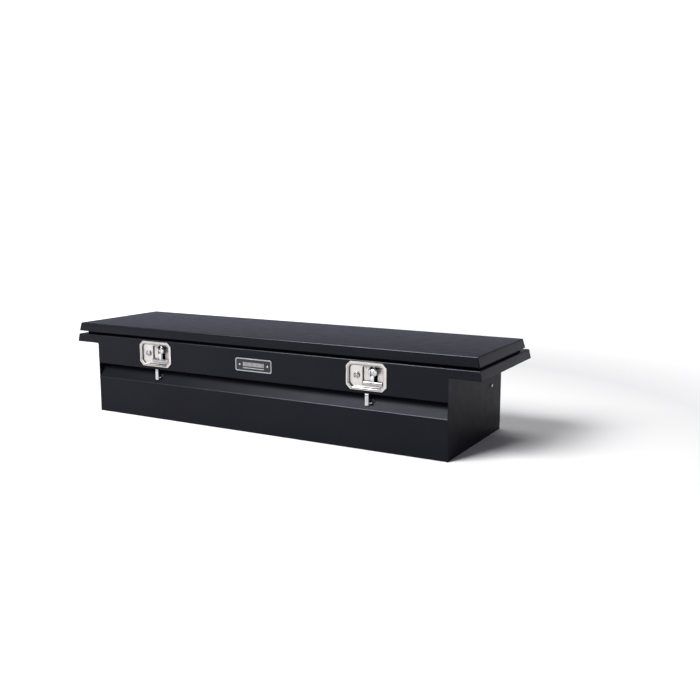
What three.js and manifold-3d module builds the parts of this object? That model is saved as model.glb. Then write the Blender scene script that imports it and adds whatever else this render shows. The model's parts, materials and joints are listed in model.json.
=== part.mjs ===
// Truck tool box: low-profile crossover chest for a pickup bed, millimetres, +Z up.
// X runs along the 70 inch length, -Y is the latch side, Z = 0 is the underside of the tub.
import * as THREE from "three";
import { mergeVertices } from "three/addons/utils/BufferGeometryUtils.js";
import Module from "manifold-3d";

// ---- driving dimensions --------------------------------------------------------------

const LENGTH = 1778; // over the foot of the flared end skirts
const DEPTH = 521; // latch boss to rear wall
const HEIGHT = 362.5;
const SHEET = 2; // folded sheet steel
const BEND = 3; // bend radius on the middle of the sheet
const GAP = 0.3; // clearance between neighbours that touch

const Y_BACK = DEPTH / 2;
const Y_NOSE = -DEPTH / 2; // the most forward metal, the latch boss
const Y_APRON = Y_NOSE + 3.3; // front face of the apron and of the tub's front wall

const TUB_END = 776; // half length of the deep tub
const LIP_END = 866; // half length of the upstanding lip, out over the wings
const SKIRT_TOP = 881.1; // half length at the top of the end skirts
const SKIRT_FOOT = LENGTH / 2;

const Z_WING = 283.4; // underside of the wings, which rest on the truck's bed rails
const Z_RAIL = 316.6; // top of the flange around the tub
const Z_LIP = 343; // top of the upstanding lip
const Z_LINER = 350; // underside of the lid liner
const Z_APRON = 201.5; // lower edge of the front apron
const Z_LEDGE = 144.1; // front edge of the ledge under the apron
const LEDGE_RUN = 35.2; // the ledge slopes back this far
const LEDGE_RISE = 50.2; // while it climbs this far

const LIP_FRONT = Y_APRON + LEDGE_RUN; // front face of the front lip
const LIP_REAR = 203; // rear face of the rear lip

const LID = {
  foot: { x: 880.8, front: -256.4, rear: 216.2, z: 328.4 },
  top: { x: 873.1, front: -253.4, rear: 207, z: HEIGHT },
  edge: 3.5, // rounding where the skirts fold into the top
};

const HINGE = { y: 222, z: 322, knuckle: 3.6, bore: 2, pin: 1.6, half: 750, segments: 11 };

const LATCH_X = 471; // latches either side of the middle
const LATCH_Z = 262;
const MECHANISM_DX = 18; // the inner mechanism sits to one side of the latch centre

const STRUT = {
  x: 757,
  low: { y: 153.6, z: 187 },
  high: { y: 60, z: 334 },
  tube: 9,
  rod: 4,
  eye: 7,
};

// Offsets are from the latch centre; both latches have the same hand.
const DISH = {
  half: 78.6,
  tall: 49.65,
  chamfer: 16,
  metal: 1.5,
  front: Y_APRON - 2.3, // front face of the flange, over the gasket
  left: -67,
  right: 64,
  low: -40,
  high: 37,
  step: -22, // where the shallow part drops into the deep one
  deepLow: -30,
  shallow: 9,
  deep: 17,
  cut: 71,
};

// Pivots and ends of the latch parts. Angles: 40 degrees of handle turn the lever by 6.2 degrees.
const HANDLE = { x: 24, z: 279, y: -247, boss: 18, stem: 6, barZ: 239.5, barY: -254.6, bar: 3.8 };
const LOCK_X = -41; // lock cylinder, from the latch centre
const LOCK = { radius: 12, hole: 10.4, reach: 14, cam: 24 };
const LEVER = { y: -245.2, z: 211, foot: 160, top: 297, half: 8.25, metal: 3, rear: -236 };
const ROD = { z: 174, hookZ: 166, hookY: -255, radius: 1.8, hole: 7 };
const CLAW = { y: -188, z: 300, radius: 24, pin: 4.8, bore: 5.4, half: 3 };
const PAWL = { y: -158, z: 232, pin: 4, bore: 4.4, half: 2.5, foot: 168 };
const STRIKER = { y: -176, z: 312, radius: 3.5 };
const HOUSING = { half: 26, foot: 222, top: 328, cheek: 3 };

const BADGE = { x: 80.8, z: 258.2, half: 24.5, frame: 3.8, rivet: 62, rib: 48 };

const sides = [
  ["left", -1],
  ["right", 1],
];

// ---- solids ----------------------------------------------------------------------------

const wasm = await Module();
wasm.setup();

function solid(geometry) {
  const bare = geometry.clone();
  bare.deleteAttribute("normal");
  bare.deleteAttribute("uv");
  const merged = mergeVertices(bare, 1e-4);
  return new wasm.Manifold(
    new wasm.Mesh({
      numProp: 3,
      vertProperties: merged.attributes.position.array,
      triVerts: new Uint32Array(merged.index.array),
    }),
  );
}

function join(...solids) {
  return solids.reduce((whole, next) => whole.add(next));
}

function cut(body, ...tools) {
  return tools.reduce((left, tool) => left.subtract(tool), body);
}

function box(x0, x1, y0, y1, z0, z1) {
  const geometry = new THREE.BoxGeometry(x1 - x0, y1 - y0, z1 - z0);
  return solid(geometry.translate((x0 + x1) / 2, (y0 + y1) / 2, (z0 + z1) / 2));
}

function toShape(outline) {
  if (outline instanceof THREE.Shape) return outline;
  return new THREE.Shape(outline.map(([u, v]) => new THREE.Vector2(u, v)));
}

function extrusion(outline, depth) {
  const settings = { depth, bevelEnabled: false, curveSegments: 6 };
  return new THREE.ExtrudeGeometry(toShape(outline), settings);
}

// Outline in (y, z), extruded from x0 to x1.
function prismX(outline, x0, x1) {
  const turn = new THREE.Matrix4().set(0, 0, 1, x0, 1, 0, 0, 0, 0, 1, 0, 0, 0, 0, 0, 1);
  return solid(extrusion(outline, x1 - x0).applyMatrix4(turn));
}

// Outline in (x, z), extruded from y0 to y1.
function prismY(outline, y0, y1) {
  const turn = new THREE.Matrix4().set(1, 0, 0, 0, 0, 0, -1, y1, 0, 1, 0, 0, 0, 0, 0, 1);
  return solid(extrusion(outline, y1 - y0).applyMatrix4(turn));
}

// Outline in (x, y), extruded from z0 to z1.
function prismZ(outline, z0, z1) {
  return solid(extrusion(outline, z1 - z0).translate(0, 0, z0));
}

// Round bar between two points given as [x, y, z].
function bar(from, to, radius, facets = 16) {
  const a = new THREE.Vector3(...from);
  const b = new THREE.Vector3(...to);
  const along = b.clone().sub(a);
  const turn = new THREE.Quaternion().setFromUnitVectors(
    new THREE.Vector3(0, 1, 0),
    along.clone().normalize(),
  );
  const geometry = new THREE.CylinderGeometry(radius, radius, along.length(), facets);
  const middle = a.add(b).multiplyScalar(0.5);
  return solid(geometry.applyQuaternion(turn).translate(middle.x, middle.y, middle.z));
}

// Rectangle whose four corners are cut off (corner steps 1) or rounded (more steps).
function plate(u0, u1, v0, v1, corner, steps = 3) {
  const points = [];
  const centres = [
    [u1 - corner, v1 - corner],
    [u0 + corner, v1 - corner],
    [u0 + corner, v0 + corner],
    [u1 - corner, v0 + corner],
  ];
  centres.forEach(([u, v], quarter) => {
    for (let i = 0; i <= steps; i++) {
      const angle = ((quarter + i / steps) * Math.PI) / 2;
      points.push([u + corner * Math.cos(angle), v + corner * Math.sin(angle)]);
    }
  });
  return points;
}

function ring(outer, inner) {
  const shape = toShape(outer);
  shape.holes.push(new THREE.Path(inner.map(([u, v]) => new THREE.Vector2(u, v))));
  return shape;
}

// Polyline moved sideways to the left of its travel, with mitred corners.
function offsetLine(points, distance) {
  const way = (i) => points[i + 1].clone().sub(points[i]).normalize();
  return points.map((point, i) => {
    const before = way(Math.max(i - 1, 0));
    const after = way(Math.min(i, points.length - 2));
    const normal = new THREE.Vector2(-before.y - after.y, before.x + after.x).normalize();
    const reach = distance / Math.sqrt((1 + before.dot(after)) / 2);
    return point.clone().addScaledVector(normal, reach);
  });
}

function roundedLine(points, radius, steps = 3) {
  const line = [points[0]];
  for (let i = 1; i < points.length - 1; i++) {
    const back = points[i - 1].clone().sub(points[i]).normalize();
    const on = points[i + 1].clone().sub(points[i]).normalize();
    const reach = radius / Math.tan(Math.acos(back.dot(on)) / 2);
    const start = points[i].clone().addScaledVector(back, reach);
    const end = points[i].clone().addScaledVector(on, reach);
    line.push(...new THREE.QuadraticBezierCurve(start, points[i], end).getPoints(steps));
  }
  line.push(points[points.length - 1]);
  return line;
}

// Section of a folded sheet. The corners give its outer face and the metal lies to their left.
function folded(corners, thickness = SHEET, bend = BEND) {
  const outer = corners.map(([u, v]) => new THREE.Vector2(u, v));
  const middle = roundedLine(offsetLine(outer, thickness / 2), bend);
  const left = offsetLine(middle, thickness / 2);
  const right = offsetLine(middle, -thickness / 2);
  return [...left, ...right.reverse()].map((p) => [p.x, p.y]);
}

// Solid through rectangles stacked upwards.
function stack(levels) {
  const positions = levels.flatMap(({ x, front, rear, z }) => [
    [-x, front, z],
    [x, front, z],
    [x, rear, z],
    [-x, rear, z],
  ]);
  const index = [0, 3, 2, 0, 2, 1];
  for (let level = 0; level < levels.length - 1; level++) {
    for (let i = 0; i < 4; i++) {
      const a = 4 * level + i;
      const b = 4 * level + ((i + 1) % 4);
      index.push(a, b, b + 4, a, b + 4, a + 4);
    }
  }
  const last = 4 * (levels.length - 1);
  index.push(last, last + 1, last + 2, last, last + 2, last + 3);
  const geometry = new THREE.BufferGeometry();
  geometry.setAttribute("position", new THREE.Float32BufferAttribute(positions.flat(), 3));
  geometry.setIndex(index);
  return solid(geometry);
}

// ---- materials and the group -------------------------------------------------------------

const looks = {
  powder: { color: 0x26282d, roughness: 0.5, metalness: 0.2 },
  stainless: { color: 0xdad6cf, roughness: 0.25, metalness: 0.9 },
  zinc: { color: 0xa9a9a4, roughness: 0.4, metalness: 0.8 },
  rubber: { color: 0x141414, roughness: 0.9, metalness: 0 },
  foam: { color: 0xcfc6a8, roughness: 1, metalness: 0 },
  strut: { color: 0x101113, roughness: 0.35, metalness: 0.3 },
};

const toolBox = new THREE.Group();

function place(name, look, body) {
  const data = body.getMesh();
  const geometry = new THREE.BufferGeometry();
  geometry.setAttribute("position", new THREE.BufferAttribute(data.vertProperties, 3));
  geometry.setIndex(new THREE.BufferAttribute(data.triVerts, 1));
  const mesh = new THREE.Mesh(geometry, new THREE.MeshStandardMaterial(looks[look]));
  mesh.name = name;
  toolBox.add(mesh);
}

// ---- tub ---------------------------------------------------------------------------------

// Everything past the sloping line of the end skirts, as a tool that trims a front or rear sheet.
function skirtTrim(side) {
  const outline = [
    [side * SKIRT_TOP, Z_RAIL],
    [side * SKIRT_FOOT, Z_WING],
    [side * (SKIRT_FOOT + 20), Z_WING],
    [side * (SKIRT_FOOT + 20), Z_RAIL + 10],
    [side * SKIRT_TOP, Z_RAIL + 10],
  ];
  return prismY(outline, Y_NOSE - 5, Y_BACK + 5);
}

// What a full-length sheet loses at one end, so that only its wing part runs past the tub.
function belowWing(side, reach) {
  const [x0, x1] = [side * reach, side * (SKIRT_FOOT + 1)].sort((a, b) => a - b);
  return box(x0, x1, Y_NOSE - 1, Y_BACK + 1, -1, Z_WING);
}

function frontWall() {
  const section = folded([
    [LIP_FRONT, Z_LIP],
    [LIP_FRONT, Z_LEDGE + LEDGE_RISE],
    [Y_APRON, Z_LEDGE],
    [Y_APRON, 0],
    [Y_APRON + 22, 0],
  ]);
  const inner = TUB_END - SHEET;
  const rodHoles = sides.map(([, side]) => {
    const x = side * LATCH_X + MECHANISM_DX;
    return bar([x, Y_APRON - 5, ROD.z], [x, LIP_FRONT + 5, ROD.z], ROD.hole);
  });
  return cut(
    prismX(section, -LIP_END, LIP_END),
    belowWing(-1, inner),
    belowWing(1, inner),
    ...rodHoles,
  );
}

function rearWall() {
  const section = folded([
    [Y_BACK - 22, 0],
    [Y_BACK, 0],
    [Y_BACK, Z_RAIL],
    [LIP_REAR, Z_RAIL],
    [LIP_REAR, Z_LIP],
  ]);
  const beyondLip = sides.map(([, side]) => {
    const [x0, x1] = [side * LIP_END, side * SKIRT_FOOT].sort((a, b) => a - b);
    return box(x0, x1, LIP_REAR - 10, Y_BACK - SHEET, Z_WING - 1, Z_LIP + 1);
  });
  return cut(
    prismX(section, -SKIRT_FOOT, SKIRT_FOOT),
    belowWing(-1, TUB_END - SHEET),
    belowWing(1, TUB_END - SHEET),
    skirtTrim(-1),
    skirtTrim(1),
    ...beyondLip,
  );
}

function floorPan() {
  const x = TUB_END - SHEET;
  return box(-x, x, Y_APRON + SHEET + 2, Y_BACK - SHEET - 2, SHEET + GAP, 2 * SHEET + GAP);
}

// Flat end plate, closing the tub from the ledge edge to the rear wall. Its top edge meets the
// edge of the wing tray.
function endPlate(side) {
  const outline = [
    [Y_APRON, 0],
    [Y_BACK, 0],
    [Y_BACK, Z_WING],
    [Y_BACK - SHEET, Z_WING],
    [Y_BACK - SHEET, Z_WING + SHEET],
    [LIP_FRONT + SHEET, Z_WING + SHEET],
    [LIP_FRONT + SHEET, Z_WING],
    [Y_APRON + SHEET, Z_WING],
    [Y_APRON + SHEET, Z_APRON],
    [Y_APRON, Z_APRON],
  ];
  const [x0, x1] = [side * TUB_END, side * (TUB_END - SHEET)].sort((a, b) => a - b);
  const hole = bar([x0 - 1, STRUT.low.y, STRUT.low.z], [x1 + 1, STRUT.low.y, STRUT.low.z], 4.4);
  return cut(prismX(outline, x0, x1), hole);
}

// Shallow tray over the bed rail, its outer end standing up as the lip.
function wingTray(side) {
  const corners = [
    [side * LIP_END, Z_LIP],
    [side * LIP_END, Z_WING],
    [side * (TUB_END + GAP), Z_WING],
  ];
  const tray = prismY(folded(corners, -side * SHEET), LIP_FRONT + SHEET, LIP_REAR - SHEET);
  // Behind the rear lip it runs on under the flange, as far as the rear wall.
  corners[0] = [side * LIP_END, Z_RAIL - SHEET - BEND];
  const tail = prismY(folded(corners, -side * SHEET), LIP_REAR - SHEET - 1, Y_BACK - SHEET);
  return join(tray, tail);
}

// Flared skirt at the end of a wing, cut level with the wing's underside.
function endSkirt(side) {
  const flare = (SKIRT_FOOT - SKIRT_TOP) / (Z_RAIL - Z_WING);
  const below = 5;
  const corners = [
    [side * (SKIRT_FOOT + below * flare), Z_WING - below],
    [side * SKIRT_TOP, Z_RAIL],
    [side * LIP_END, Z_RAIL],
  ];
  const [y0, y1] = [Y_APRON + SHEET, Y_BACK - SHEET];
  const spare = box(-SKIRT_FOOT - below, SKIRT_FOOT + below, y0 - 1, y1 + 1, Z_WING - 20, Z_WING);
  return cut(prismY(folded(corners, side * SHEET), y0, y1), spare);
}

// Apron with the latch cut-outs, the wing skirts at both ends and a narrow return at its foot.
function frontApron() {
  const section = folded([
    [LIP_FRONT, Z_RAIL],
    [Y_APRON, Z_RAIL],
    [Y_APRON, Z_APRON],
    [Y_APRON + 12, Z_APRON],
  ]);
  const tools = [];
  for (const [, side] of sides) {
    const x = side * LATCH_X;
    const [x0, x1] = [side * LIP_END, side * SKIRT_FOOT].sort((a, b) => a - b);
    const [r0, r1] = [side * (TUB_END - SHEET - GAP), side * TUB_END].sort((a, b) => a - b);
    tools.push(
      belowWing(side, TUB_END),
      skirtTrim(side),
      box(r0, r1, Y_APRON + SHEET, LIP_FRONT - 1, Z_APRON - 1, Z_APRON + 10),
      box(x0, x1, Y_APRON + SHEET, LIP_FRONT + 1, Z_WING, Z_RAIL + 1),
      prismY(dishOpening(x), Y_APRON - 1, Y_APRON + 5),
      box(x - 13, x + 13, Y_APRON + SHEET + 0.5, LIP_FRONT - 1, Z_APRON - 1, Z_APRON + SHEET + 1),
    );
  }
  return cut(prismX(section, -SKIRT_FOOT, SKIRT_FOOT), ...tools);
}

// Bulb seal that grips the lip all the way round.
function rimSeal() {
  const grip = 5;
  const top = Z_LINER - GAP;
  const band = ring(
    plate(-LIP_END - grip + SHEET, LIP_END + grip - SHEET, LIP_FRONT - 3, LIP_REAR + 3, 4),
    plate(-LIP_END + grip, LIP_END - grip, LIP_FRONT + grip, LIP_REAR - grip, 3),
  );
  const edge = SHEET + GAP;
  const groove = ring(
    plate(-LIP_END - GAP, LIP_END + GAP, LIP_FRONT - GAP, LIP_REAR + GAP, 0.1, 1),
    plate(-LIP_END + edge, LIP_END - edge, LIP_FRONT + edge, LIP_REAR - edge, 0.1, 1),
  );
  return cut(prismZ(band, Z_LIP - 8, top), prismZ(groove, Z_LIP - 9, Z_LIP + GAP));
}

// ---- lid ---------------------------------------------------------------------------------

// Rectangle of the lid's outer face at height z, drawn in by a margin.
function lidLevel(z, margin) {
  const t = (z - LID.foot.z) / (LID.top.z - LID.foot.z);
  const mix = (key) => LID.foot[key] + (LID.top[key] - LID.foot[key]) * t;
  return { x: mix("x") - margin, front: mix("front") + margin, rear: mix("rear") - margin, z };
}

function lidSkin() {
  const outer = [lidLevel(LID.foot.z, 0)];
  for (const angle of [0, 30, 60, 90]) {
    const turn = THREE.MathUtils.degToRad(angle);
    const drop = LID.edge * (1 - Math.sin(turn));
    outer.push(lidLevel(LID.top.z - drop, LID.edge * (1 - Math.cos(turn))));
  }
  const hollow = [
    lidLevel(LID.foot.z - 1, SHEET),
    lidLevel(LID.top.z - SHEET - 1.5, SHEET),
    lidLevel(LID.top.z - SHEET, SHEET + 1.5),
  ];
  return cut(stack(outer), stack(hollow));
}

function lidLiner() {
  return box(-868, 868, -246, 199, Z_LINER, Z_LINER + 1.5);
}

function lidFoam() {
  return box(-864, 864, -244, 197, Z_LINER + 1.5 + GAP, HEIGHT - SHEET - GAP);
}

// ---- piano hinge ---------------------------------------------------------------------------

const knuckleLength = (2 * HINGE.half) / HINGE.segments;

function knuckles(parity, web) {
  const parts = [];
  for (let i = parity; i < HINGE.segments; i += 2) {
    const x0 = -HINGE.half + i * knuckleLength + GAP;
    const x1 = x0 + knuckleLength - 2 * GAP;
    parts.push(bar([x0, HINGE.y, HINGE.z], [x1, HINGE.y, HINGE.z], HINGE.knuckle, 12));
    parts.push(web(x0, x1));
  }
  return join(...parts);
}

function hingeBore() {
  const x = HINGE.half + 1;
  return bar([-x, HINGE.y, HINGE.z], [x, HINGE.y, HINGE.z], HINGE.bore, 12);
}

function hingeTubLeaf() {
  const web = (x0, x1) => box(x0, x1, 222, 228, Z_RAIL, Z_RAIL + 4);
  const leaf = box(-HINGE.half, HINGE.half, 226.5, 248, Z_RAIL, Z_RAIL + 1.6);
  return cut(join(leaf, knuckles(0, web)), hingeBore());
}

// The lid's leaf lies on the outside of its rear skirt.
function hingeLidLeaf() {
  const foot = new THREE.Vector2(LID.foot.rear, LID.foot.z);
  const top = new THREE.Vector2(LID.top.rear, LID.top.z);
  const up = top.clone().sub(foot).normalize();
  const out = new THREE.Vector2(up.y, -up.x);
  const at = (along, away) => {
    const point = foot.clone().addScaledVector(up, along).addScaledVector(out, away);
    return [point.x, point.y];
  };
  const leaf = [at(-1.5, GAP), at(25, GAP), at(25, 1.9), at(-1.5, 1.9)];
  const web = (x0, x1) => box(x0, x1, 216.9, 220.5, HINGE.z, HINGE.z + 7);
  return cut(join(prismX(leaf, -HINGE.half, HINGE.half), knuckles(1, web)), hingeBore());
}

function hingePin() {
  return bar([-HINGE.half, HINGE.y, HINGE.z], [HINGE.half, HINGE.y, HINGE.z], HINGE.pin, 10);
}

// ---- gas struts ----------------------------------------------------------------------------

const strutAxis = new THREE.Vector2(STRUT.high.y - STRUT.low.y, STRUT.high.z - STRUT.low.z);
const strutLength = strutAxis.length();
const strutWay = strutAxis.clone().normalize();

// Point on a strut's centre line, measured from its lower eye.
function onStrut(side, distance) {
  return [
    side * STRUT.x,
    STRUT.low.y + strutWay.x * distance,
    STRUT.low.z + strutWay.y * distance,
  ];
}

// Eye across a strut, or the hole through it.
function strutEye(side, end, radius, half) {
  const x = side * STRUT.x;
  return bar([x - half, end.y, end.z], [x + half, end.y, end.z], radius);
}

function strutCylinder(side) {
  const tube = bar(onStrut(side, 9), onStrut(side, strutLength - 16), STRUT.tube, 20);
  const neck = bar(onStrut(side, 0), onStrut(side, 12), 5, 12);
  const bore = bar(onStrut(side, 16), onStrut(side, strutLength), STRUT.rod + 0.5, 12);
  const eye = strutEye(side, STRUT.low, STRUT.eye, 4);
  return cut(join(tube, neck, eye), bore, strutEye(side, STRUT.low, 4.4, 6));
}

// Rod with its eye and the ball stud that it carries towards the lid bracket.
function strutRod(side) {
  const rod = bar(onStrut(side, 20), onStrut(side, strutLength), STRUT.rod, 12);
  const eye = strutEye(side, STRUT.high, STRUT.eye, 4);
  const x = side * (STRUT.x + 3);
  const stud = bar([x, STRUT.high.y, STRUT.high.z], [side * 765.6, STRUT.high.y, STRUT.high.z], 4);
  return join(rod, eye, stud);
}

// Bolt through the end plate: hexagon head outside, collar inside, plain stud for the eye.
function strutStud(side) {
  const at = (x) => [side * x, STRUT.low.y, STRUT.low.z];
  return join(
    bar(at(TUB_END), at(TUB_END + 4), 6.5, 6),
    bar(at(STRUT.x - 7), at(TUB_END + 1), 4, 16),
    bar(at(STRUT.x + 5.5), at(TUB_END - SHEET), 6.5, 16),
    bar(at(STRUT.x - 7), at(STRUT.x - 5), 5.5, 16),
  );
}

// Angle bracket under the lid liner.
function strutBracket(side) {
  const { y, z } = STRUT.high;
  const [x0, x1] = [side * 766, side * 769].sort((a, b) => a - b);
  const [f0, f1] = [side * 766, side * 792].sort((a, b) => a - b);
  const web = prismX(plate(y - 16, y + 16, z - 10, Z_LINER, 5), x0, x1);
  return join(
    web,
    box(x0, x1, y - 16, y + 16, Z_LINER - 8, Z_LINER),
    box(f0, f1, y - 16, y + 16, Z_LINER - 3, Z_LINER),
  );
}

// ---- latches -------------------------------------------------------------------------------

// Pressed pan grown outwards from its inner face: shallow on the left, deep on the right.
function pan(x, grow, front) {
  const y = (depth) => DISH.front + depth + grow;
  const z0 = LATCH_Z + DISH.low - grow;
  const z1 = LATCH_Z + DISH.high + grow;
  const x0 = x + DISH.left - grow;
  const x1 = x + DISH.right + grow;
  const deepX = x + DISH.step - grow;
  const deepZ = LATCH_Z + DISH.deepLow - grow;
  return join(
    prismY(plate(x0, x1, z0, z1, 9), front, y(DISH.shallow)),
    prismY(plate(deepX, x1, deepZ, z1, 7), front, y(DISH.deep)),
  );
}

function latchDish(x) {
  const [x0, x1] = [x - DISH.half, x + DISH.half];
  const [z0, z1] = [LATCH_Z - DISH.tall, LATCH_Z + DISH.tall];
  const rim = plate(x0, x1, z0, z1, DISH.chamfer, 1);
  const flange = prismY(rim, DISH.front, DISH.front + DISH.metal);
  const shell = join(flange, pan(x, DISH.metal, DISH.front + 0.5));
  const cx = x + HANDLE.x;
  const floor = DISH.front + DISH.deep;
  const wide = HANDLE.stem + 1.5;
  const slot = box(cx - wide, cx + wide, floor - 3, floor + 5, HANDLE.z - 6, HANDLE.z + 19.5);
  const lx = x + LOCK_X;
  const lockHole = bar([lx, DISH.front, LATCH_Z], [lx, floor, LATCH_Z], LOCK.hole, 24);
  return cut(shell, pan(x, 0, DISH.front - 1), slot, lockHole);
}

// The hole in the apron that the pan drops through.
function dishOpening(x) {
  const z0 = LATCH_Z + DISH.low - 4;
  const z1 = LATCH_Z + DISH.high + 4;
  return plate(x - DISH.cut, x + DISH.cut, z0, z1, 9, 1);
}

function dishGasket(x) {
  const [x0, x1] = [x - DISH.half + 2, x + DISH.half - 2];
  const [z0, z1] = [LATCH_Z - DISH.tall + 2, LATCH_Z + DISH.tall - 2];
  const outer = plate(x0, x1, z0, z1, DISH.chamfer - 1, 1);
  return prismY(ring(outer, dishOpening(x)), DISH.front + DISH.metal, Y_APRON);
}

// Bar on the axis of the T-handle's pin.
function onHandlePin(x, half, radius) {
  const cx = x + HANDLE.x;
  return bar([cx - half, HANDLE.y, HANDLE.z], [cx + half, HANDLE.y, HANDLE.z], radius, 12);
}

// Round boss on the floor of the deep part, slotted for the T-handle that swings in it.
function handleBoss(x) {
  const cx = x + HANDLE.x;
  const { z, boss, stem } = HANDLE;
  const floor = DISH.front + DISH.deep;
  const drum = bar([cx, Y_NOSE, z], [cx, floor, z], boss, 32);
  const wide = stem + 1;
  const slot = box(cx - wide, cx + wide, Y_NOSE - 1, floor + 1, z - boss - 2, z + boss + 0.5);
  const bridge = box(cx - wide - 1, cx + wide + 1, Y_NOSE, Y_NOSE + 2.5, z + 6, z + 15);
  return cut(join(cut(drum, slot), bridge), onHandlePin(x, boss + 2, 2.4));
}

function handlePin(x) {
  return onHandlePin(x, 13, 2);
}

// T-handle: cross bar, stem, and the tail that pushes the trip lever. Section points are offsets
// from the pin, forwards negative.
function tHandle(x) {
  const cx = x + HANDLE.x;
  const foot = HANDLE.barZ - HANDLE.z;
  const section = [
    [-5, 5],
    [-10.5, 2],
    [-11.3, foot - 2],
    [-6, foot - 3],
    [-4, -8],
    [3.6, -3],
    [3.6, 8],
    [6.6, 10],
    [6.6, 16],
    [1, 16],
    [-5, 9],
  ].map(([dy, dz]) => [HANDLE.y + dy, HANDLE.z + dz]);
  const stem = prismX(section, cx - HANDLE.stem, cx + HANDLE.stem);
  const { barY, barZ } = HANDLE;
  const grip = bar([x - 11, barY, barZ], [x + 60, barY, barZ], HANDLE.bar);
  return cut(join(stem, grip), onHandlePin(x, 9, 2.3));
}

// Lock cylinder with its keyway, standing on the floor of the shallow part.
function lockPlug(x) {
  const lx = x + LOCK_X;
  const seat = DISH.front + DISH.shallow;
  const onAxis = (y0, y1, radius) => bar([lx, y0, LATCH_Z], [lx, y1, LATCH_Z], radius, 24);
  const shank = onAxis(seat - 1, seat + LOCK.reach, LOCK.hole - 0.4);
  const head = onAxis(seat - 4, seat - GAP, LOCK.radius);
  const keyway = box(lx - 1, lx + 1, seat - 5, seat - 1.5, LATCH_Z - 4, LATCH_Z + 4);
  return cut(join(shank, head), keyway);
}

// Flat finger on the back of the lock.
function lockCam(x) {
  const lx = x + LOCK_X;
  const back = DISH.front + DISH.shallow + LOCK.reach;
  const finger = plate(lx - 7, lx + LOCK.cam, LATCH_Z - 7, LATCH_Z + 7, 6);
  return prismY(finger, back + GAP, back + 2.5);
}

// Bar on the axis of the trip lever's pin.
function onLeverPin(x, half, radius) {
  return bar([x - half, LEVER.y, LEVER.z], [x + half, LEVER.y, LEVER.z], radius);
}

// Cranked strip: tab below the apron, barrel on the pin, long arm up behind the dish with a pad
// to one side for the T-handle's tail.
function tripLever(x) {
  const corners = [
    [Y_APRON + 7.35, LEVER.foot],
    [Y_APRON + 7.35, 197],
    [LEVER.rear, 220],
    [LEVER.rear, LEVER.top],
  ];
  const strip = prismX(folded(corners, LEVER.metal), x - LEVER.half, x + LEVER.half);
  const padEnd = x + HANDLE.x + HANDLE.stem;
  const pad = box(x, padEnd, LEVER.rear - LEVER.metal, LEVER.rear, LEVER.top - 12, LEVER.top);
  const barrel = onLeverPin(x, LEVER.half, 4.6);
  return cut(join(strip, pad, barrel), onLeverPin(x, LEVER.half + 1, 2.9));
}

function leverPin(x) {
  return onLeverPin(x, LEVER.half + 4.2, 2.5);
}

// Two ears on a plate behind the apron, below the dish.
function leverBracket(x) {
  const back = Y_APRON + SHEET + GAP;
  const [z0, z1] = [LEVER.z - 6, LEVER.z + 6];
  const inner = LEVER.half + 0.75;
  const outer = inner + 2.5;
  const base = box(x - outer, x + outer, back, back + 1.5, z0, z1);
  const leftEar = box(x - outer, x - inner, back, LEVER.y + 5, z0, z1);
  const rightEar = box(x + inner, x + outer, back, LEVER.y + 5, z0, z1);
  return cut(join(base, leftEar, rightEar), onLeverPin(x, outer + 2, 2.8));
}

// Bent rod: hooked in front of the tab, then through the ledge to the pawl inside.
function releaseRod(x) {
  const inner = x + MECHANISM_DX;
  const points = [
    [x + 3, ROD.hookY, ROD.hookZ],
    [x + 10.6, ROD.hookY, ROD.hookZ],
    [x + 12.4, ROD.hookY + 2.4, ROD.hookZ + 1.4],
    [inner, ROD.hookY + 9, ROD.z],
    [inner, PAWL.y + 8, ROD.z],
  ];
  const links = points.slice(1).map((end, i) => bar(points[i], end, ROD.radius, 8));
  const elbows = points.slice(1, -1).map((point) => {
    const ball = new THREE.SphereGeometry(ROD.radius, 8, 6);
    return solid(ball.translate(...point));
  });
  const head = bar([inner, PAWL.y + 5.5, ROD.z], [inner, PAWL.y + 8, ROD.z], 5, 12);
  return join(...links, ...elbows, head);
}

// Rubber sleeve in the ledge, round the rod.
function rodGrommet(x) {
  const inner = x + MECHANISM_DX;
  const below = Z_LEDGE + LEDGE_RISE - ROD.z;
  const ledgeY = LIP_FRONT - (LEDGE_RUN * below) / LEDGE_RISE;
  const sleeve = bar([inner, ledgeY - 5, ROD.z], [inner, ledgeY + 7, ROD.z], ROD.hole - GAP, 20);
  const bore = bar([inner, ledgeY - 9, ROD.z], [inner, ledgeY + 11, ROD.z], ROD.radius + 1, 12);
  return cut(sleeve, bore);
}

// Bracket inside the front wall: back plate, two cheeks with a throat for the striker, two pins.
function latchHousing(x) {
  const inner = x + MECHANISM_DX;
  const wall = LIP_FRONT + SHEET;
  const { half, foot, top, cheek } = HOUSING;
  const gap = CLAW.half + 3;
  const section = [
    [wall, foot],
    [PAWL.y + 9, foot],
    [PAWL.y + 9, PAWL.z + 30],
    [CLAW.y + 20, CLAW.z - 15],
    [CLAW.y + 20, top],
    [wall, top],
  ];
  const [t0, t1] = [STRIKER.y - 6, STRIKER.y + 6];
  const throat = prismX(plate(t0, t1, STRIKER.z - 6, top + 12, 5), inner - half, inner + half);
  const plates = join(
    box(inner - half, inner + half, wall, wall + 3, foot, top),
    prismX(section, inner - gap - cheek, inner - gap),
    prismX(section, inner + gap, inner + gap + cheek),
  );
  const pin = ({ y, z, pin: radius }) => {
    const reach = gap + 2;
    return bar([inner - reach, y, z], [inner + reach, y, z], radius);
  };
  return join(cut(plates, throat), pin(CLAW), pin(PAWL));
}

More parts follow.
